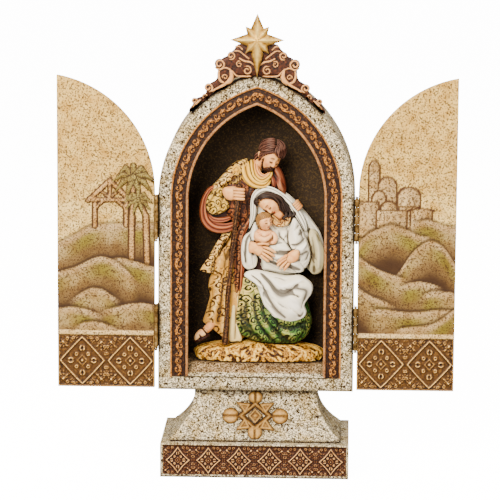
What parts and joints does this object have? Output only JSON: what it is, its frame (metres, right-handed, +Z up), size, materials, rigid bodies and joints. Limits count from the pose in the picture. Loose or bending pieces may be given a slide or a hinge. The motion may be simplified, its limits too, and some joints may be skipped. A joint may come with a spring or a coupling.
{
  "type": "triptych altarpiece",
  "caption": "Tabletop triptych: arched niche with a kneeling and standing nativity group on a stepped pedestal, relief wings on butt hinges, scrolled crest with a star.",
  "frame": {"origin": "centre of the plinth's underside, on the surface that it stands on", "axes": "+Z up, -Y to the front where the niche opens, +X to the viewer's right; the wings lie open along X"},
  "size_m": [0.2614, 0.074, 0.305],
  "materials": {
    "stone": "matte cast stone-look resin, cream-grey with dark speckles",
    "copper_wash": "satin, dark red-brown with copper highlights rubbed on the relief",
    "gilt": "satin antique gold",
    "painted_figures": "satin hand-painted resin, white, gold brocade, brown and green",
    "gold_wash": "matte tan-gold stipple with green-tinted relief",
    "antique_brass": "aged brass"
  },
  "bodies": {
    "case": {"pedestal": "stone", "cabinet": "stone", "crest": "copper_wash", "star": "gilt", "holy_family": "painted_figures", "hinge_left_lower_case_leaf": "antique_brass", "hinge_left_lower_pin": "antique_brass", "hinge_left_upper_case_leaf": "antique_brass", "hinge_left_upper_pin": "antique_brass", "hinge_right_lower_case_leaf": "antique_brass", "hinge_right_lower_pin": "antique_brass", "hinge_right_upper_case_leaf": "antique_brass", "hinge_right_upper_pin": "antique_brass"},
    "left_wing": {"door_left": "gold_wash", "hinge_left_lower_door_leaf": "antique_brass", "hinge_left_upper_door_leaf": "antique_brass"},
    "right_wing": {"door_right": "gold_wash", "hinge_right_lower_door_leaf": "antique_brass", "hinge_right_upper_door_leaf": "antique_brass"}
  },
  "joints": [
    {"name": "left_wing_hinge", "type": "hinge", "parent": "case", "child": "left_wing", "pos_m": [-0.0656, -0.025, 0.1348], "axis": [0, 0, 1], "range_deg": [0, 180]},
    {"name": "right_wing_hinge", "type": "hinge", "parent": "case", "child": "right_wing", "pos_m": [0.0656, -0.025, 0.1348], "axis": [0, 0, 1], "range_deg": [-180, 0]}
  ]
}
